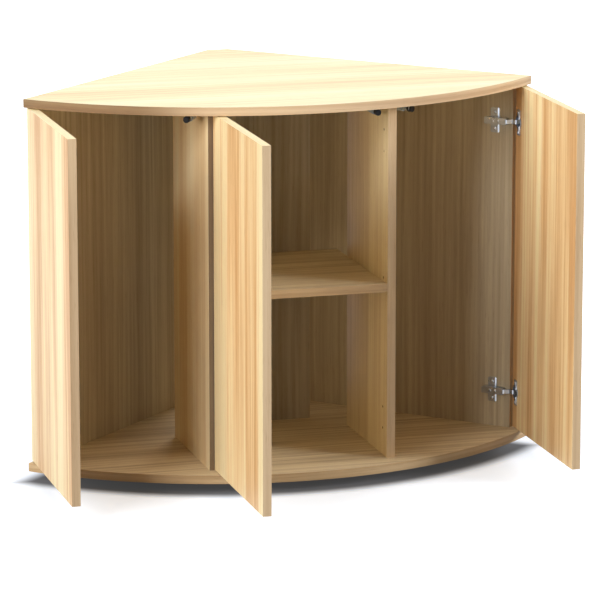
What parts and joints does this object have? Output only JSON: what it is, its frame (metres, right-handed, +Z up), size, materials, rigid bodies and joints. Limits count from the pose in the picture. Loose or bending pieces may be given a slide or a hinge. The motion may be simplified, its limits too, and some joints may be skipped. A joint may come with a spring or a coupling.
{
  "type": "corner aquarium cabinet",
  "caption": "Quarter-round corner cabinet that carries an aquarium: bowed top and base plates, wall boards, dividers, inner shelf, and flat doors on concealed hinges with push latches.",
  "frame": {"origin": "on the floor, at the sole of the middle foot, halfway between the front corners of the plates", "axes": "+X right as seen from the front, +Y towards the corner of the room, +Z up"},
  "size_m": [0.985, 0.9591, 0.726],
  "materials": {
    "laminated_board": "satin wood-grain laminate",
    "edge_band": "satin edge banding",
    "foot_plastic": "matt",
    "dowel_wood": "plain",
    "zinc_casting": "cast",
    "plated_steel": "bright",
    "nickel_plate": "bright nickel",
    "dark_rubber": "matt",
    "grey_plastic": "satin"
  },
  "bodies": {
    "cabinet": {"base_edge_band": "edge_band", "base_plate": "laminated_board", "base_screws": "plated_steel", "cam_bolts": "plated_steel", "cam_locks": "zinc_casting", "dowels": "dowel_wood", "feet": "foot_plastic", "hinge_arm_screws": "plated_steel", "hinge_plate_screws": "plated_steel", "latch_screws": "plated_steel", "latch_springs": "plated_steel", "left_divider": "laminated_board", "left_latch_cartridge": "grey_plastic", "left_latch_holder": "grey_plastic", "left_lower_hinge_arm": "nickel_plate", "left_lower_hinge_plate": "nickel_plate", "left_upper_hinge_arm": "nickel_plate", "left_upper_hinge_plate": "nickel_plate", "left_wall": "laminated_board", "middle_latch_cartridge": "grey_plastic", "middle_latch_holder": "grey_plastic", "middle_lower_hinge_arm": "nickel_plate", "middle_lower_hinge_plate": "nickel_plate", "middle_upper_hinge_arm": "nickel_plate", "middle_upper_hinge_plate": "nickel_plate", "rear_panel": "laminated_board", "right_divider": "laminated_board", "right_latch_cartridge": "grey_plastic", "right_latch_holder": "grey_plastic", "right_lower_hinge_arm": "nickel_plate", "right_lower_hinge_plate": "nickel_plate", "right_upper_hinge_arm": "nickel_plate", "right_upper_hinge_plate": "nickel_plate", "right_wall": "laminated_board", "shelf": "laminated_board", "shelf_pins": "plated_steel", "top_edge_band": "edge_band", "top_plate": "laminated_board"},
    "left_door": {"left_cup_screws": "plated_steel", "left_door": "laminated_board", "left_hinge_pins": "plated_steel", "left_lower_hinge_cup": "nickel_plate", "left_upper_hinge_cup": "nickel_plate"},
    "middle_door": {"middle_cup_screws": "plated_steel", "middle_door": "laminated_board", "middle_hinge_pins": "plated_steel", "middle_lower_hinge_cup": "nickel_plate", "middle_upper_hinge_cup": "nickel_plate"},
    "right_door": {"right_cup_screws": "plated_steel", "right_door": "laminated_board", "right_hinge_pins": "plated_steel", "right_lower_hinge_cup": "nickel_plate", "right_upper_hinge_cup": "nickel_plate"},
    "left_plunger": {"left_latch_plunger": "grey_plastic", "left_latch_tip": "dark_rubber"},
    "middle_plunger": {"middle_latch_plunger": "grey_plastic", "middle_latch_tip": "dark_rubber"},
    "right_plunger": {"right_latch_plunger": "grey_plastic", "right_latch_tip": "dark_rubber"}
  },
  "joints": [
    {"name": "left_door_hinges", "type": "hinge", "parent": "cabinet", "child": "left_door", "pos_m": [-0.474, 0.0055, 0.373], "axis": [0, 0, -1], "range_deg": [-61.24, 33.76]},
    {"name": "middle_door_hinges", "type": "hinge", "parent": "cabinet", "child": "middle_door", "pos_m": [-0.162, -0.1556, 0.373], "axis": [0, 0, -1], "range_deg": [-90, 5]},
    {"name": "right_door_hinges", "type": "hinge", "parent": "cabinet", "child": "right_door", "pos_m": [0.474, 0.0055, 0.373], "axis": [0, 0, 1], "range_deg": [-61.24, 33.76]},
    {"name": "left_latch_slide", "type": "slide", "parent": "cabinet", "child": "left_plunger", "axis": [-0.4811, -0.8767, 0], "range_m": [0, 0.014]},
    {"name": "middle_latch_slide", "type": "slide", "parent": "cabinet", "child": "middle_plunger", "axis": [0, -1, 0], "range_m": [0, 0.014]},
    {"name": "right_latch_slide", "type": "slide", "parent": "cabinet", "child": "right_plunger", "axis": [0.4811, -0.8767, 0], "range_m": [0, 0.014]}
  ]
}
